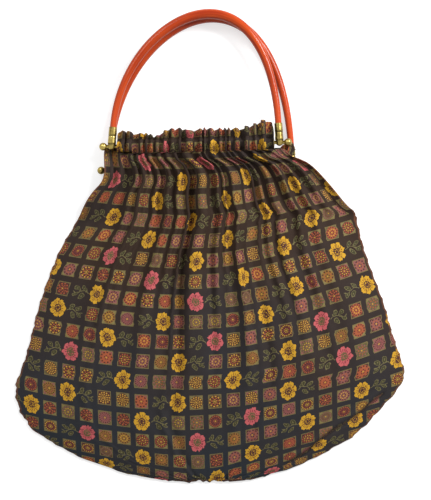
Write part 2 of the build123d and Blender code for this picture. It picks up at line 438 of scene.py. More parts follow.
def makeCloth(name, c):
    look = clothLook
    mat, tree, shader = newMaterial(name)
    flat = scaledUV(tree, "clothUV", (c["uvSize"], c["uvSize"], 1))
    u, v = addNode("SeparateXYZ", flat).outputs[:2]
    place = tree.nodes.new("ShaderNodeTexCoord").outputs["Object"]
    spot = addNode("SeparateXYZ", place).outputs
    drift = grain(place, look["driftScale"])
    lower = plus(spot[1], calc("MULTIPLY_ADD", spot[0], *look["slant"]))
    cool = plus(spread(lower, *look["coolBetween"]), spread(drift, *look["coolDrift"]))
    ground = blendColour(cool, c["ground"], c["groundBlue"])
    ink = printedColour(flat, u, v, ground, c)

    # plain weave and slightly patchy ink
    warp = wave(u, 2 * math.pi / look["warp"])
    weave = times(warp, wave(v, 2 * math.pi / look["weft"]))
    patchy = grain(flat, *look["patches"])
    tone = plus(spread(patchy, *look["patchTone"]), times(weave, look["weaveTone"]))
    grey = addNode("CombineColor", tone, tone, tone).outputs[0]
    ink = blendColour(1.0, ink, grey, "MULTIPLY")

    # painted shade darkens the seams, hems and turned-over folds, with short dashes of thread along the
    # stitched lines
    shadeAndStitchMask = painted(tree, "shadeAndStitchLine")
    ink = blendColour(times(shadeAndStitchMask, look["creaseShadeShare"]), ink, c["creaseShadeTone"])
    stitches = above(wave(plus(u, v), look["stitchRate"]), look["stitchFrom"])
    stitches = times(stitches, above(shadeAndStitchMask, look["stitchedFrom"]))
    ink = blendColour(times(stitches, look["stitch"]), ink, c["thread"])

    # edges are a little rubbed and warmer
    ink = blendColour(times(painted(tree, "rubbed"), look["rubbed"]), ink, c["rubbed"])
    plug(ink, shader.inputs["Base Color"])
    height = plus(times(weave, look["weaveHigh"]), grain(flat, *look["slub"]))
    plug(bumped(height, *look["bump"]), shader.inputs["Normal"])
    plug(spread(patchy, *look["patchRough"]), shader.inputs["Roughness"])
    setShine(shader, look["shine"])
    return mat


# Gathered panels.
# Stations from the hem stitched behind the rod, over the ruffle's edge, to the gathers in front:
# distance above the rod, lift off the rod's plane, how far the folds stand there.
headingStations = [
    (-8.0, 2.2, 0.45),
    (-5.0, -4.0, 0.80),
    (0.0, -5.8, 0.90),
    (4.0, -4.2, 0.80),
    (6.6, 1.0, 0.45),
    (10.4, -1.4, 0.90),
    (14.4, -1.6, 1.05),
    (16.4, 0.4, 1.10),
    (14.4, 2.6, 1.05),
    (10.4, 3.4, 0.90),
    (6.6, 2.4, 0.45),
    (4.0, 5.2, 0.80),
    (0.0, 6.2, 0.90),
    (-5.0, 5.2, 0.80),
    (-8.0, 3.6, 0.50),
]

heading = {
    "rowsBetween": 3,
    "seams": (6.6, -8.0),  # heights of the two seams that close the casing
    "seamWidth": 1.1,
    # painted shade along the casing's seams
    "seamShade": 0.8,
    "ruffleFrom": 6.6,
    "ruffleTall": 9.8,
    "scallopTall": 3.2,
    "scallopDown": 2.4,
    "scallopShift": 0.6,
    "backPuff": 0.9,  # share of the end's puff behind the rod
    "casingPuff": 0.25,  # and beside the rod
    "calmEnd": 0.45,
    "rodReach": 3.4,  # rows this near the rod keep clear of it
    "rodRoom": 3.0,
    "cornerShares": ((0.07, 0.11), (0.93, 0.965)),  # where the lower corners drop back
    "cornerDrops": (5.6, 3.8),
    "cornerRows": (5.6, 7.4),
    "rubbedFrom": 0.93,
    "rubbed": 0.55,
}

# Height on the bag, how far the folds stand there.
bodyFolds = [(-262, 0.30), (-225, 0.60), (-150, 0.95), (-100, 1.00), (-60, 1.00), (-20, 0.95),
             (20, 0.92), (50, 0.95), (80, 1.0), (95, 0.85), (105, 0.42)]

# Broad soft swells below the folds: height on the bag, how far they stand.
bodySwells = [(-262, 0.0), (-202, 0.5), (-172, 1.0), (-149, 1.3), (-120, 1.6), (-58, 1.6), (0, 1.9),
              (40, 2.4), (70, 2.0), (92, 0.8), (105, 0.0)]

# Sewn outline, the same for both panels: height, left, right.
seamLine = [
    (-260.0, -30, 22), (-258.6, -48, 44), (-255.0, -70, 60), (-247.0, -100, 88),
    (-240.0, -119, 106), (-233.0, -137, 121), (-226.0, -153, 134), (-219.0, -165, 148),
    (-212.0, -176, 159), (-205.0, -188, 167), (-196.0, -199, 177), (-186.0, -206, 186),
    (-176.0, -211.5, 196), (-166.0, -214.5, 205), (-156.0, -215.8, 212), (-146.0, -215, 215.6),
    (-132.0, -209.5, 213), (-116.0, -203.5, 208), (-96.0, -197.5, 202), (-72.0, -191, 196),
    (-48.0, -183, 188), (-22.0, -173, 179), (2.0, -162, 172), (20.0, -151, 168),
    (32.0, -143.5, 165),
]
seamLow = seamLine[0][0]
slitEnd = seamLine[-1][0]

# Width of the cut cloth at each height.
cutWidths = [(-262, 436), (-150, 435), (-120, 419), (-90, 408), (-60, 401), (-30, 399), (0, 400),
             (40, 403), (128, 405)]

body = {
    "below": 8.0,  # from the rod down to the casing's lower edge
    "firstRow": 1.1,
    "lastRow": 0.7,
    "seamRows": (14, 0.25),  # rows lie closer near the bottom seam
    "topRows": (40, 0.5),  # and below the casing
    "rough": 0.9,  # the side seams grow more ragged downwards
    "roughBetween": (120, 200),
    "leftWaves": ((0.55, 0.36, 0), (0.45, 0.83, 1)),
    "rightWaves": ((0.55, 0.41, 2), (0.4, 0.9, 0)),
    "bottomWaves": ((0.9, 0.29, 0), (0.9, 0.83, 1)),
    "bottomRise": 0.8,
    "bottomBetween": (2, 16),
    "roundBelow": -150,  # the cut is rounded below this height
    "roundEase": 1.006,
    "leastEase": 1.002,
    "lift": 3.6,  # over the casing's edge
    "liftBetween": (-2, 26),
    "calmSides": 0.8,
    "calmBetween": (6, 55),
    "pressed": 0.75,  # the rear panel is pressed flat by what lies on it
    "pressedBetween": (10, 55),
    "rubbed": 0.9,
    "rubbedShare": 0.004,
    "bottomRubbed": 0.6,
    "bottomEdge": 2,
    # width of the painted shade along the casing's lower edge
    "casingCrease": 2.0,
    "outside": (-4, 1),
    "shoulderBetween": (0, 16),
}

frontPanel = {
    "node": "front_panel",
    "seed": 3,
    "rodY": 112.5,
    "rodZ": 20.0,
    "level": 2.3,  # of the sewn seam
    "lowest": 1.8,
    "crown": 7.0,  # how far the bag's middle bulges
    "headLeft": -94.9,
    "headRight": 76.3,
    "headLean": (0.1, -0.035),  # the ends keep clear of the leaning ferrules
    "slitLine": [(34.5, -142, 166), (37.5, -140, 161.5), (45, -136, 153.5), (54.5, -130.5, 145.5),
                 (64, -123, 137.5), (73, -114, 129.5), (82, -110.2, 121), (88, -109.6, 114),
                 (92, -109.8, 107), (94.5, -110, 98.5), (97.5, -110.3, 93), (101, -110, 89),
                 (104.5, -108.5, 85)],
    "hem": (7.0, 12.0),
    "hemSlip": 9.0,
    "topLine": [(0.0, 0.5), (0.08, -0.8), (0.13, -3.0), (0.2, -3.6), (0.235, -6.5), (0.27, -2.5),
                (0.32, 0.8), (0.42, 1.0), (0.45, -1.0), (0.5, 0.4), (0.7, 0.3), (0.8, 1.0),
                (0.85, 3.0), (0.9, 6.5), (0.945, 8.6), (0.975, 7.6), (0.99, 4.5), (1.0, 0.5)],
    "puff": 5.0,  # lift of the ruffle's right end
    "puffFrom": 0.93,
    "puffOut": 0.0,
    "longFolds": [(0.22, 1.6, 150), (0.33, 1.8, 170), (0.415, 2.6, 300), (0.505, 3.0, 230),
                  (0.565, 2.0, 270), (0.655, 3.4, 370), (0.745, 2.2, 210)],  # share, depth, run
    "flatTop": 405.0,
    "bodyStep": 3.4,
    "shoulders": (8.0, 3.6),  # bulge of the cloth beside the casing's ends
    "cutSize": (0.435, 0.478),  # metres, measured on the flat cloth's UV map
    "cutArea": 0.184,
}

rearPanel = {
    "node": "back_panel",
    "seed": 8,
    "rodY": 87.5,
    "rodZ": 6.6,
    "level": 1.0,
    "lowest": 0.9,
    "crown": 0.0,
    "headLeft": -98.5,
    "headRight": 90.0,
    "headLean": (0.0, 0.0),
    "slitLine": [(38.0, -139, 158), (46, -132, 147), (53, -124, 134), (60, -110, 111),
                 (66.4, -99.6, 92), (72, -98.8, 90.6), (79.5, -98.6, 90.4)],
    "hem": (7.0, 7.0),
    "hemSlip": 0.0,
    "topLine": [(0.0, -2.0), (0.3, -1.4), (0.6, -2.0), (0.8, -1.4), (0.9, 0.4), (0.935, 3.0),
                (0.955, 8.6), (0.985, 8.6), (1.0, 3.0)],
    "puff": 7.4,
    "puffFrom": 0.90,
    "puffOut": 10.5,
    "longFolds": [],
    "flatTop": 405.0,
    "bodyStep": 3.6,
    "shoulders": (3.6, 3.6),
    "cutSize": (0.435, 0.455),
    "cutArea": 0.172,
}

hem = {
    "high": 1.2,
    "edge": (-1.6, 0.2),
    "groove": (0.8, 1.5),
    "stitch": (0.5, 1.2),
    "softOver": 6,  # rows above the slit's end over which the hem comes in
}
longFold = {
    "startBetween": (4, 30),
    "width": 0.010,
    "ridge": 0.45,
    "ridgeAside": 0.024,
    "ridgeWidth": 0.012,
}

# Line along which the seam allowance is turned forward: its middle and the direction outwards.
tuckLine = {
    "x": 137.5,
    "y": -204.1,
    "across": (0.563, -0.826),
    "half": 70.0,
    "ends": (12, 8),
    "depth": 3.0,
    "slip": 8.0,
    "slipBetween": (-0.8, 0.8),
    "wobble": (1.1, 0.11),
    "ridge": (1.2, -3.0, 2.6),
    "groove": (0.8, 1.9),
    # painted shade along the turned fold
    "shadeAndStitchLine": (0.4, 2.0),
}

# Room between the cloth and the ferrules, and between the two cloths.
room = {
    "under": 0.577,  # slope under a ferrule at its furthest swing
    "eye": 5.3,  # from the rod's middle to under a ferrule's eye
    "eyeBack": 2.3,
    "leftBand": (92.0, 94.0),  # how far out the ferrules swing
    "rightBand": (75.0, 76.6),
    "beyondBand": 12,
    "drops": (5.9, 1.4),  # of the shoulders below the rod's plane
    "dropBetween": (2, 24),
    "panels": (1.4, 12.3),  # height between the cloths at the slits' ends, rise
    "panelsBetween": (34, 80),
    "leftBetween": (-92, -80),
    "rightBetween": (74, 80),
    "leftDrop": 1.3,
    "rightRise": 1.5,
    "overFloor": 0.9,
    "underCeiling": 0.3,
    "foldsLeft": 0.1,  # share of the folds kept under a ferrule
    "opening": (20, -2, 12),  # how fast the ceiling rises below the slits
    "sewn": (0.05, 4, 4, 20),  # room in the bottom seam, its rise and where it rises
}

foldShape = {
    "columns": 305,
    "count": 21,
    "swells": 7,
    "cloth": 0.7,
    "steepest": 2.0,  # radians, a fold leans over past upright
    "mostLean": 4.0,
    "tries": 24,
    "uneven": (0.2, 3),  # second wave that makes the folds lopsided
    "drift": 20,  # share of a row over which its slow drift is taken out
    "settle": (8, 120),  # how far below the casing the sides calm down
    "sideStand": 0.10,
    "calmLeft": (0.02, 0.34),
    "calmRight": (0.62, 0.98),
    "fading": (20, 260),
    "fade": (1.1, 1.6),
    "placeRipples": ((0.36, 2.3, 1.0), (0.20, 5.9, 1.7)),
    "heightRipples": ((0.12, 7.7, 2.1), (0.08, 12.3, 1.0)),
    "runRipples": ((0.55, 4.6, 1.0), (0.35, 9.1, 1.3)),
}


def bell(x, middle, width):
    return np.exp(-(((x - middle) / width) ** 2))


def wavy(x, waves):
    return sum(size * np.sin(x * rate + start) for size, rate, start in waves)


def ripples(share, seed, terms):
    return sum(size * np.sin(2 * np.pi * count * share + turn * seed) for size, count, turn in terms)


def tableAt(table, where, column=1):
    return float(alongTable(table, np.array([where]), column)[0])


def foldPlaces(share, seed):
    # running number of the fold at each share of the cloth's width, the folds a little uneven
    return foldShape["count"] * share + ripples(share, seed, foldShape["placeRipples"])


def foldHeights(share, seed, depth):
    # relative height of the folds: even below the casing, lower at the sides and lower down
    f = foldShape
    settle = easeStep(depth, *f["settle"])
    inner = easeStep(share, *f["calmLeft"]) * (1 - easeStep(share, *f["calmRight"]))
    middle = f["sideStand"] + (1 - f["sideStand"]) * inner
    run = 1 + ripples(share, seed, f["runRipples"])
    lasting = np.exp(-easeStep(depth, *f["fading"]) * (f["fade"][0] - run) * f["fade"][1])
    uneven = 1 + ripples(share, seed, f["heightRipples"])
    return uneven * (1 - settle + settle * middle) * lasting


def foldRow(share, width, length, seed, depth):
    # lay a row of cloth of this length into folds, so that it is as wide as asked
    place = foldPlaces(share, seed)
    second, turning = foldShape["uneven"]
    waves = np.sin(2 * np.pi * place) + second * np.sin(4 * np.pi * place + 1 + turning * share)
    waves = foldHeights(share, seed, depth) * waves
    steepest = foldShape["steepest"]
    piece = length / len(share)
    low, high = 0.0, foldShape["mostLean"]
    for _ in range(foldShape["tries"]):
        lean = (low + high) / 2
        if piece * np.cos(np.clip(lean * waves, -steepest, steepest)).sum() > width:
            low = lean
        else:
            high = lean
    waves = np.clip(lean * waves, -steepest, steepest)
    x = np.concatenate([[0], np.cumsum(piece * np.cos(waves))])
    z = np.concatenate([[0], np.cumsum(piece * np.sin(waves))])
    x *= width / x[-1]
    # take out the slow drift, so that the folds stand evenly about the panel
    span = len(z) // foldShape["drift"]
    padded = np.pad(z, span, mode="reflect", reflect_type="odd")
    z = z - np.convolve(padded, np.ones(2 * span + 1) / (2 * span + 1), mode="valid")
    return x, z


def betweenPanels(x, y):
    # height that the rear cloth stays under and the front cloth over, near the slits and rods
    level, rise = room["panels"]
    leftEnd = 1 - easeStep(x, *room["leftBetween"])
    rightEnd = easeStep(x, *room["rightBetween"])
    rise = rise - room["leftDrop"] * leftEnd + room["rightRise"] * rightEnd
    return level + rise * easeStep(y, *room["panelsBetween"])


def headingStops():
    # rows between the stations, rounded off where the cloth turns
    rows = []
    for first, second in zip(headingStations, headingStations[1:]):
        for k in range(heading["rowsBetween"]):
            t = k / heading["rowsBetween"]
            rows.append([a + (b - a) * t for a, b in zip(first, second)])
    rows.append(list(headingStations[-1]))
    inner = [[(a + 2 * b + c) / 4 for a, b, c in zip(*three)] for three in zip(rows, rows[1:], rows[2:])]
    return [rows[0]] + inner + [rows[-1]]


def headingRow(p, stop, edges, middles):
    height, lift, stand = stop
    h = heading
    x, z = foldRow(middles, p["headRight"] - p["headLeft"], p["flatTop"], p["seed"], 0.0)
    ruffle = max(0.0, height - h["ruffleFrom"]) / h["ruffleTall"]
    scallops = np.abs(np.sin(np.pi * foldPlaces(edges, p["seed"]) + h["scallopShift"]))
    scallops = h["scallopTall"] * scallops - h["scallopDown"]
    y = p["rodY"] + height + ruffle * (alongTable(p["topLine"], edges) + scallops)

    atEnd = easeStep(edges, p["puffFrom"], 1.0)
    puff = p["puff"] * atEnd * (1 if lift > 0 else h["backPuff"]) * (1 if ruffle else h["casingPuff"])
    leaning = p["headLean"][0] * (1 - edges) + p["headLean"][1] * edges
    x = p["headLeft"] + x + leaning * np.maximum(y - p["rodY"], 0)
    x = x + p["puffOut"] * (ruffle**0.5 if lift > 0 else ruffle) * atEnd**2
    raised = p["rodZ"] + lift + puff + z * stand * (1 - h["calmEnd"] * atEnd)
    raised = np.maximum(raised, p["lowest"])

    if not p["crown"]:
        raised = np.minimum(raised, betweenPanels(x, y) - room["underCeiling"])
    elif lift > 0:
        # the lower corners of the heading drop back under the ferrules
        cornerLeft = 1 - easeStep(edges, *h["cornerShares"][0])
        cornerRight = easeStep(edges, *h["cornerShares"][1])
        dropped = (cornerLeft + cornerRight) * easeStep(-height, *h["cornerRows"])
        corner = p["rodZ"] - h["cornerDrops"][0] * cornerLeft - h["cornerDrops"][1] * cornerRight
        raised = raised + (corner - raised) * dropped
    if abs(height) < h["rodReach"]:
        # the two layers pass on either side of the rod
        if lift > 0:
            raised = np.maximum(raised, p["rodZ"] + h["rodRoom"])
        else:
            raised = np.minimum(raised, p["rodZ"] - h["rodRoom"])

    # painted shade along the casing's two seams
    pinched = max(float(bell(height, seam, h["seamWidth"])) for seam in h["seams"])
    return {
        "points": np.stack([x, y, raised], 1),
        "slip": np.zeros(len(edges)),
        "shadeAndStitchLine": np.full(len(edges), h["seamShade"] * pinched),
        "rubbed": np.full(len(edges), h["rubbed"] if ruffle > h["rubbedFrom"] else 0.0),
        "fan": p["headLeft"] + edges * (p["headRight"] - p["headLeft"]),
        "height": height,
        "level": lift,
        "cut": (edges - 0.5) * p["flatTop"],
    }


def bodyHeights(p):
    top = p["rodY"] - body["below"]
    heights = [top - body["firstRow"]]
    while heights[-1] > seamLow + body["lastRow"]:
        y = heights[-1]
        near = min(1.0, (y - seamLow) / body["seamRows"][0] + body["seamRows"][1])
        far = min(1.0, (top - y) / body["topRows"][0] + body["topRows"][1])
        heights.append(max(seamLow, y - p["bodyStep"] * min(near, far)))
    return heights


def rowEnds(p, y):
    # left and right end of a row, on the bag and on the flat cloth
    outline = seamLine + p["slitLine"]
    left, right = tableAt(outline, y), tableAt(outline, y, 2)
    if y < slitEnd:
        rough = 1 + body["rough"] * easeStep(-y, *body["roughBetween"])
        left += rough * wavy(y, body["leftWaves"])
        right += rough * wavy(y, body["rightWaves"])
    half = tableAt(cutWidths, y) / 2
    cutLeft, cutRight = -half, half
    if y < body["roundBelow"]:
        cutLeft = max(cutLeft, left * body["roundEase"])
        cutRight = min(cutRight, right * body["roundEase"])
    return left, right, cutLeft, cutRight


def addHems(p, z, shadeAndStitchLine, soft, insides):
    # turned and stitched hems along the free edges beside the slits, with painted shade along the stitch
    # line
    for inside, wide in zip(insides, p["hem"]):
        double = 1 - easeStep(inside - wide, *hem["edge"])
        z = z + soft * (hem["high"] * double - bell(inside - wide, *hem["groove"]))
        shadeAndStitchLine = np.maximum(shadeAndStitchLine, soft * bell(inside - wide, *hem["stitch"]))
    return z, shadeAndStitchLine


def addLongFolds(p, z, edges, depth):
    # valleys that run far down the bag, with a small ridge on either side
    for place, deep, run in p["longFolds"]:
        fading = deep * easeStep(depth, *longFold["startBetween"]) * math.exp(-((depth / run) ** 4))
        z = z - fading * bell(edges, place, longFold["width"])
        for aside in (-longFold["ridgeAside"], longFold["ridgeAside"]):
            z = z + longFold["ridge"] * fading * bell(edges, place + aside, longFold["ridgeWidth"])
    return z


def panelCentre(p, y, across):
    # smooth surface that the folds stand on, from the rod's height down to the flat seam
    if y >= slitEnd:
        share = (p["rodY"] - y) / (p["rodY"] - slitEnd)
        edgeZ = p["rodZ"] + (p["level"] - p["rodZ"]) * share**3
        middleZ = p["rodZ"] if p["crown"] else edgeZ
    else:
        rise = (y - seamLow) / (slitEnd - seamLow)
        edgeZ = middleZ = p["level"]
        if p["crown"]:
            middleZ += (p["rodZ"] - p["level"]) * math.sqrt(rise) + 4 * p["crown"] * rise * (1 - rise)
    return edgeZ + (middleZ - edgeZ) * (1 - across**3)


def turnAllowance(x, y, raised, slip, shadeAndStitchLine):
    # the seam allowance is turned forward at the lower right, with painted shade along the fold
    k = tuckLine
    outX, outY = k["across"]
    past = (x - k["x"]) * outX + (y - k["y"]) * outY + k["wobble"][0] * np.sin(x * k["wobble"][1])
    along = (y - k["y"]) * outX - (x - k["x"]) * outY
    part = easeStep(along, -k["half"], -k["half"] + k["ends"][0])
    part = part * (1 - easeStep(along, k["half"] - k["ends"][1], k["half"]))
    ridge = k["ridge"][0] * bell(past, *k["ridge"][1:]) * (past < 0)
    raised = raised + part * (ridge - k["depth"] * bell(past, *k["groove"]))
    slip = slip + part * k["slip"] * easeStep(past, *k["slipBetween"])
    shadeAndStitchLine = np.maximum(shadeAndStitchLine, part * bell(past, *k["shadeAndStitchLine"]))
    return raised, slip, shadeAndStitchLine


def keepFrontClear(p, x, y, raised, stand, outside, shoulder, depth):
    # under the ferrules, also when they swing forward, and over the rear cloth
    under = (outside[0] + outside[1]) * (1 - easeStep(depth, *room["dropBetween"]))
    below = outside[0] * room["drops"][0] + outside[1] * room["drops"][1]
    raised = raised + (p["rodZ"] - below + room["foldsLeft"] * stand - raised) * under
    raised = np.maximum(raised, betweenPanels(x, y) + room["overFloor"])
    past = np.maximum(0, p["rodY"] - room["eyeBack"] - y - shoulder)
    swept = p["rodZ"] - room["eye"] + room["under"] * past
    beside = easeStep(-x, *room["leftBand"]) + easeStep(x, *room["rightBand"])
    return np.minimum(raised, swept + room["beyondBand"] * (1 - beside))


def keepRearClear(p, x, y, raised):
    # under the front cloth by the slits, and flat in the bottom seam
    high, start, end = room["opening"]
    opening = high * easeStep(slitEnd - y, start, end)
    raised = np.minimum(raised, betweenPanels(x, y) - room["underCeiling"] + opening)
    gap, rise, start, end = room["sewn"]
    return np.minimum(raised, p["lowest"] + gap + rise * easeStep(y - seamLow, start, end))


def bodyRow(p, y, edges, middles):
    b = body
    depth = p["rodY"] - b["below"] - y
    left, right, cutLeft, cutRight = rowEnds(p, y)
    length = max(cutRight - cutLeft, (right - left) * b["leastEase"])
    x, z = foldRow(middles, right - left, length, p["seed"], depth)
    x = left + x
    z = z * tableAt(bodyFolds, y + frontPanel["rodY"] - p["rodY"])

    # painted shade along the casing's lower edge
    shadeAndStitchLine = np.full(len(edges), heading["seamShade"] * bell(depth, 0, b["casingCrease"]))
    slip = np.zeros(len(edges))
    if y >= slitEnd:
        soft = easeStep(y, slitEnd, slitEnd + hem["softOver"])
        fromRight = (1 - edges) * length
        z, shadeAndStitchLine = addHems(p, z, shadeAndStitchLine, soft, (edges * length, fromRight))
        slip = soft * p["hemSlip"] * (1 - easeStep(fromRight, p["hem"][1] - 1, p["hem"][1]))
    z = addLongFolds(p, z, edges, depth)
    if p["crown"]:
        z = z + tableAt(bodySwells, y) * np.sin(2 * np.pi * foldShape["swells"] * edges)

    across = np.abs(2 * edges - 1)
    centre = panelCentre(p, y, across)
    stand = z * (1 - b["calmSides"] * across**6 * easeStep(depth, *b["calmBetween"]))
    if not p["crown"]:
        stand = stand * (1 - b["pressed"] * easeStep(depth, *b["pressedBetween"]))
    raised = centre + (1 - easeStep(depth, *b["liftBetween"])) * b["lift"] + stand
    if p["crown"]:
        raised, slip, shadeAndStitchLine = turnAllowance(x, y, raised, slip, shadeAndStitchLine)
    raised = np.maximum(raised, p["lowest"])

    # the cloth bulges up a little beside both ends of the casing
    outside = [easeStep(past, *b["outside"]) for past in (p["headLeft"] - x, x - p["headRight"])]
    shoulder = p["shoulders"][0] * outside[0] + p["shoulders"][1] * outside[1]
    shoulder = shoulder * (1 - easeStep(depth, *b["shoulderBetween"]))
    if p["crown"]:
        raised = keepFrontClear(p, x, y, raised, stand, outside, shoulder, depth)
    else:
        raised = keepRearClear(p, x, y, raised)
    bottom = 1 - easeStep(y - seamLow, *b["bottomBetween"])
    uneven = bottom * (wavy(x, b["bottomWaves"]) + b["bottomRise"])

    atSide = (edges < b["rubbedShare"]) | (edges > 1 - b["rubbedShare"])
    rubbed = np.where(atSide, b["rubbed"], 0.0)
    if y <= seamLow + b["bottomEdge"]:
        rubbed = np.full(len(edges), b["bottomRubbed"])
    return {
        "points": np.stack([x, y + shoulder + uneven, raised], 1),
        "slip": slip,
        "shadeAndStitchLine": shadeAndStitchLine,
        "rubbed": rubbed,
        "fan": left + edges * (right - left),
        "height": y - p["rodY"],
        "level": float(centre[len(edges) // 2]) - p["rodZ"],
        "cut": cutLeft + edges * (cutRight - cutLeft),
    }


def clothLengths(rows):
    # distance down the flat cloth at each point, which places the print
    lengths = [np.zeros(len(rows[0]["cut"]))]
    for last, here in zip(rows, rows[1:]):
        fall = here["height"] - last["height"]
        run = ((here["fan"] - last["fan"]) ** 2 + fall**2 + (here["level"] - last["level"]) ** 2
               - (here["cut"] - last["cut"]) ** 2)
        lengths.append(lengths[-1] + np.sqrt(np.maximum(run, clothPrint["leastFall"] * fall**2)))
    return np.concatenate(lengths)


def gatherRows(rows, key):
    return np.concatenate([row[key] for row in rows])


def makePanel(name, p):
    n = foldShape["columns"]
    edges = np.linspace(0, 1, n + 1)
    middles = (edges[1:] + edges[:-1]) / 2
    rows = [headingRow(p, stop, edges, middles) for stop in headingStops()]
    rows += [bodyRow(p, y, edges, middles) for y in bodyHeights(p)]

    faces = []
    for r in range(len(rows) - 1):
        base = r * (n + 1)
        for i in range(n):
            faces.append((base + i, base + n + 1 + i, base + n + 2 + i, base + i + 1))
    mesh = bpy.data.meshes.new(name)
    mesh.from_pydata((gatherRows(rows, "points") * mm).tolist(), [], faces)
    mesh.update()

    slip = gatherRows(rows, "slip")
    lengths = clothLengths(rows)
    across = (gatherRows(rows, "cut") + slip + clothPrint["uvMiddle"]) / clothPrint["uvSize"]
    down = clothPrint["uvTop"] - (lengths + clothPrint["slipDown"] * slip) / clothPrint["uvSize"]
    index = np.zeros(len(mesh.loops), int)
    mesh.loops.foreach_get("vertex_index", index)
    uv = mesh.uv_layers.new(name="clothUV")
    uv.data.foreach_set("uv", np.stack([across[index], down[index]], 1).reshape(-1))
    # painted shade with its stitch lines, and the rubbed edges, are stored on the points
    for key in ("rubbed", "shadeAndStitchLine"):
        values = mesh.attributes.new(key, "FLOAT", "POINT")
        values.data.foreach_set("value", gatherRows(rows, key).astype(np.float32))

    obj = bpy.data.objects.new(name, mesh)
    bpy.context.scene.collection.objects.link(obj)
    pick(obj)
    bpy.ops.object.shade_smooth()
    thick = obj.modifiers.new("cloth", "SOLIDIFY")
    thick.thickness = foldShape["cloth"] * mm
    thick.offset = -1
    bpy.ops.object.modifier_apply(modifier=thick.name)
    area = sum(f.area for f in mesh.polygons) / 2
    print(name, "rows", len(rows), "cloth area", round(area, 4), "longest run", round(lengths.max(), 1))
    return obj


# Handles.
frontHandle = {
    "node": "front_handle",
    "body": "front_handle_set",
    "rodY": 112.5,
    "rodZ": 20.0,
    "archZ": 16.9,
    "shift": -9.1,
    "spread": 90.8,
    "reach": 136.0,
    "rack": 0.1175,
}
rearHandle = {
    "node": "rear_handle",
    "body": "rear_handle_set",
    "rodY": 87.5,
    "rodZ": 6.6,
    "archZ": 5.7,
    "shift": -4.2,
    "spread": 100.0,
    "reach": 159.0,
    "rack": 0.0915,
}
barShape = {
    "archRise": 7.0,
    "gripD": 11.0,
    "legD": 7.0,
    "fatness": 1.5,
    "ferruleLength": 21.0,
    "spigotD": 6.8,
    "spigotEnds": (0.02, 11.0),
    "points": 96,
    "around": 10,
    "sharp": 50,  # degrees
    "weld": 0.002,
}
barLook = {
    "streakSize": (3.0, 9.0, 1),
    "streaks": (1.6, 3.0, 0.6),
    "clouds": (26.0, 3.0, 0.55),
    "fine": 240.0,
    "deep": rgb(152, 42, 3),
    "bright": rgb(190, 70, 14),
    "dark": rgb(128, 30, 2),
    # painted highlight: the bar is lighter and pinker lower on the bag, on its legs
    "legHighlight": rgb(198, 76, 34),
    "streakShare": (0.35, 0.65, 0.0, 1.0),
    "darkShare": (0.45, 0.75, 0.0, 0.5),
    "legHighlightShare": (0.2, 0.14, 0.0, 0.55),  # from metres up the bag
    "rough": (0.3, 0.7, 0.16, 0.26),
    "bump": (0.06, 0.0003),
    "shine": {"IOR": 1.5, "Specular IOR Level": 0.22},
}


def makePlastic(name):
    look = barLook
    mat, tree, shader = newMaterial(name)
    streak = grain(scaledUV(tree, "barUV", look["streakSize"]), *look["streaks"])
    place = tree.nodes.new("ShaderNodeTexCoord").outputs["Object"]
    up = addNode("SeparateXYZ", place).outputs[1]
    cloud = grain(place, *look["clouds"])
    tone = blendColour(spread(streak, *look["streakShare"]), look["deep"], look["bright"])
    tone = blendColour(spread(cloud, *look["darkShare"]), tone, look["dark"])
    # painted highlight that makes the legs lighter and pinker lower down
    tone = blendColour(spread(up, *look["legHighlightShare"]), tone, look["legHighlight"])
    plug(tone, shader.inputs["Base Color"])
    plug(spread(cloud, *look["rough"]), shader.inputs["Roughness"])
    plug(bumped(grain(place, look["fine"]), *look["bump"]), shader.inputs["Normal"])
    setShine(shader, look["shine"])
    return mat


def barStops(h):
    # stops along the bar: across, up from the rod, radius
    b = barShape
    start = math.asin((b["ferruleLength"] - b["archRise"]) / h["reach"])
    stops = []
    for i in range(b["points"] + 1):
        angle = start + (math.pi - 2 * start) * i / b["points"]
        rise = b["archRise"] + h["reach"] * math.sin(angle)
        leaning = h["rack"] * rise**2 / (h["reach"] + b["archRise"])
        fat = math.sin(angle) ** b["fatness"]
        radius = (b["legD"] + (b["gripD"] - b["legD"]) * fat) / 2
        stops.append((h["shift"] + leaning + h["spread"] * math.cos(angle), rise, radius))
    # a thinner spigot at either end, which goes into the ferrule
    spigots = []
    for (x, rise, _), (besideX, besideRise, _) in (stops[:2], stops[:-3:-1]):
        dx, dr = x - besideX, rise - besideRise
        size = math.hypot(dx, dr)
        spigots.append([(x + dx / size * far, rise + dr / size * far, b["spigotD"] / 2)
                        for far in b["spigotEnds"]])
    return spigots[0][::-1] + stops + spigots[1]


def makeHandle(name, h):
    b = barShape
    drop = math.asin((h["rodZ"] - h["archZ"]) / (h["reach"] + b["archRise"]))
    stops = barStops(h)
    bpy.ops.curve.primitive_nurbs_path_add()
    obj = bpy.context.object
    obj.name = name
    curve = obj.data
    curve.splines.clear()
    line = curve.splines.new("POLY")
    line.points.add(len(stops) - 1)
    for point, (x, rise, radius) in zip(line.points, stops):
        y = h["rodY"] + rise * math.cos(drop)
        z = h["rodZ"] - rise * math.sin(drop)
        point.co = (x * mm, y * mm, z * mm, 1)
        point.radius = radius * mm
    curve.bevel_depth = 1.0
    curve.bevel_resolution = b["around"]
    curve.use_fill_caps = True
    curve.twist_mode = "Z_UP"
    pick(obj)
    bpy.ops.object.convert(target="MESH")
    obj = bpy.context.object
    obj.location = (0, 0, 0)
    if obj.data.uv_layers:
        obj.data.uv_layers[0].name = "barUV"
    weld(b["weld"], b["sharp"], True)
    obj.data.materials.clear()
    obj.data.materials.append(barPlastic)
    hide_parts(h["node"])
    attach(obj, h["body"])
    return obj


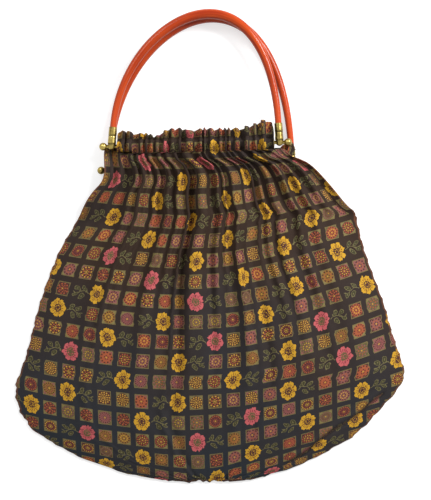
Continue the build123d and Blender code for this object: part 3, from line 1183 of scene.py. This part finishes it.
# Brass.
brassLook = {
    "stains": (190.0, 4.0, 0.6),
    "clouds": 60.0,
    "scratches": 900.0,
    "pale": rgb(176, 156, 88),
    "dull": rgb(112, 94, 48),
    "dark": rgb(92, 76, 42),
    # painted shade colour for the ferrules' grooves
    "grooveShade": rgb(46, 36, 22),
    "dullShare": (0.4, 0.7, 0.0, 1.0),
    "darkShare": (0.45, 0.7, 0.0, 0.6),
    "rough": (0.3, 0.7, 0.2, 0.38),
    "grooveRough": 0.3,
    "bump": (0.12, 0.00005),
}
turned = {
    "thin": 4.35,  # radius under which a ferrule is painted darker, as shade in its grooves
    "above": 0.2,
    "grooveShadeStrength": 0.85,
    "sharp": 34,  # degrees
    "weld": 0.004,
}
# Where each ferrule's middle line meets its rod, and where it ends at the handle.
ferruleFeet = {
    ("front", "left"): ((-101.23, 112.5, 20.0), (-99.06, 133.5, 19.55)),
    ("front", "right"): ((82.31, 112.5, 20.0), (81.58, 133.5, 19.55)),
    ("rear", "left"): ((-105.22, 87.5, 6.6), (-103.57, 108.5, 6.49)),
    ("rear", "right"): ((96.34, 87.5, 6.6), (95.65, 108.5, 6.49)),
}


def makeBrass(name):
    look = brassLook
    mat, tree, shader = newMaterial(name)
    place = tree.nodes.new("ShaderNodeTexCoord").outputs["Object"]
    stain = grain(place, *look["stains"])
    cloud = grain(place, look["clouds"])
    # painted shade in the ferrules' grooves, which are also made rougher
    grooveShade = painted(tree, "grooveShade")
    tone = blendColour(spread(stain, *look["dullShare"]), look["pale"], look["dull"])
    tone = blendColour(spread(cloud, *look["darkShare"]), tone, look["dark"])
    tone = blendColour(grooveShade, tone, look["grooveShade"])
    plug(tone, shader.inputs["Base Color"])
    shader.inputs["Metallic"].default_value = 1.0
    rough = plus(spread(stain, *look["rough"]), times(grooveShade, look["grooveRough"]))
    plug(rough, shader.inputs["Roughness"])
    plug(bumped(grain(place, look["scratches"]), *look["bump"]), shader.inputs["Normal"])
    return mat


def addGrooveShade(obj, foot=None, top=None):
    # painted shade in the grooves where a ferrule is turned down thinner, none on the balls and rods
    grooveShade = obj.data.attributes.new("grooveShade", "FLOAT", "POINT")
    if foot is None:
        return
    a, b = np.array(foot) * mm, np.array(top) * mm
    way = (b - a) / np.linalg.norm(b - a)
    co = np.array([v.co[:] for v in obj.data.vertices])
    off = co - a - ((co - a) @ way)[:, None] * way
    far = np.linalg.norm(off, axis=1) / mm
    along = ((co - a) @ way) / mm
    inGroove = (far < turned["thin"]) & (along > turned["above"])
    grooveShade.data.foreach_set("value", np.where(inGroove, turned["grooveShadeStrength"], 0.0).astype(np.float32))


def dressBrass(node, name, body, foot=None, top=None):
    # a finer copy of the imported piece
    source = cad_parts[node]
    obj = source.copy()
    obj.data = source.data.copy()
    obj.name = name
    for key in list(obj.keys()):
        del obj[key]
    obj.parent = None
    bpy.context.scene.collection.objects.link(obj)
    pick(obj)
    weld(turned["weld"], turned["sharp"])
    addGrooveShade(obj, foot, top)
    obj.data.materials.clear()
    obj.data.materials.append(agedBrass)
    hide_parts(node)
    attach(obj, body)
    return obj


# Making the bag.
printedCotton = makeCloth("printedCotton", clothPrint)
for panel, name, rod in ((rearPanel, "rearCloth", "rear_rod"), (frontPanel, "frontCloth", "front_rod")):
    cloth = makePanel(name, panel)
    cloth.data.materials.append(printedCotton)
    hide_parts(panel["node"])
    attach(cloth, "bag")

barPlastic = makePlastic("barPlastic")
makeHandle("frontBar", frontHandle)
makeHandle("rearBar", rearHandle)
print("handles made")

agedBrass = makeBrass("agedBrass")
for (which, side), (foot, top) in ferruleFeet.items():
    title = side.capitalize()
    dressBrass(f"{which}_{side}_ferrule", f"{which}{title}Ferrule", f"{which}_handle_set", foot, top)
    dressBrass(f"{which}_{side}_ball", f"{which}{title}Ball", "bag")
for which in ("front", "rear"):
    dressBrass(f"{which}_rod", f"{which}Rod", "bag")
print("brass made")

# Floor, light and camera, in metres.
studio = {
    "floorSize": 12,
    "floorZ": -0.0004,
    "floorColour": (0.55, 0.55, 0.55, 1),
    "floorShine": {"Roughness": 0.9, "Specular IOR Level": 0.1},
    "floorGlow": 0.62,
    "worldStrength": 0.42,
    "keyPlace": (0.95, 0.75, 0.95),
    "keySize": 0.55,
    "keyPower": 27.0,
    "fillPlace": (-0.6, 0.95, 1.15),
    "fillSize": 0.5,
    "fillPower": 7.0,
    "lens": 85.0,
    "sensor": 36.0,
    "cameraOver": (0.00955, -0.00341, 0.012),
    "seenTall": 0.55,
    "cameraTurn": -1.4,  # degrees
}


def seenDirectly(tree):
    # 1 where a ray comes from the camera, a reflection or through glass
    path = tree.nodes.new("ShaderNodeLightPath")
    rays = calc("MAXIMUM", path.outputs["Is Camera Ray"], path.outputs["Is Glossy Ray"])
    return calc("MAXIMUM", rays, path.outputs["Is Transmission Ray"])


def makeFloor():
    bpy.ops.mesh.primitive_plane_add(size=studio["floorSize"], location=(0, 0, studio["floorZ"]))
    floor = bpy.context.object
    floor.name = "paleFloor"
    bpy.ops.object.transform_apply(location=True, rotation=False, scale=False)
    mat, tree, shader = newMaterial("floorWhite")
    shader.inputs["Base Color"].default_value = studio["floorColour"]
    setShine(shader, studio["floorShine"])
    glow = tree.nodes.new("ShaderNodeEmission")
    plug(times(seenDirectly(tree), studio["floorGlow"]), glow.inputs["Strength"])
    both = addNode("AddShader", shader.outputs[0], glow.outputs[0])
    out = next(n for n in tree.nodes if n.type == "OUTPUT_MATERIAL")
    plug(both.outputs[0], out.inputs[0])
    floor.data.materials.append(mat)


def makeLamp(name, place, size, power):
    bpy.ops.object.light_add(type="AREA", location=place)
    lamp = bpy.context.object
    lamp.name = name
    lamp.data.size = size
    lamp.data.energy = power
    aim = -lamp.location
    lamp.rotation_euler = aim.to_track_quat("-Z", "Y").to_euler()


def makeWorld():
    world = bpy.data.worlds.new("studioWorld")
    bpy.context.scene.world = world
    world.use_nodes = True
    tree = world.node_tree
    back = tree.nodes["Background"]
    back.inputs["Color"].default_value = (1, 1, 1, 1)
    dim = studio["worldStrength"]
    plug(calc("MULTIPLY_ADD", seenDirectly(tree), 1 - dim, dim), back.inputs["Strength"])


def makeCamera():
    bpy.ops.object.camera_add()
    cam = bpy.context.object
    cam.name = "photoCamera"
    cam.data.type = "PERSP"
    cam.data.lens = studio["lens"]
    cam.data.sensor_width = studio["sensor"]
    x, y, z = studio["cameraOver"]
    cam.location = (x, y, z + studio["lens"] / studio["sensor"] * studio["seenTall"])
    cam.rotation_euler = (0, 0, math.radians(studio["cameraTurn"]))
    bpy.context.scene.camera = cam


deselectAll()
makeFloor()
makeWorld()
makeLamp("keyLamp", studio["keyPlace"], studio["keySize"], studio["keyPower"])
makeLamp("fillLamp", studio["fillPlace"], studio["fillSize"], studio["fillPower"])
makeCamera()
deselectAll()
bpy.context.scene.view_settings.view_transform = "Standard"
print("studio ready")
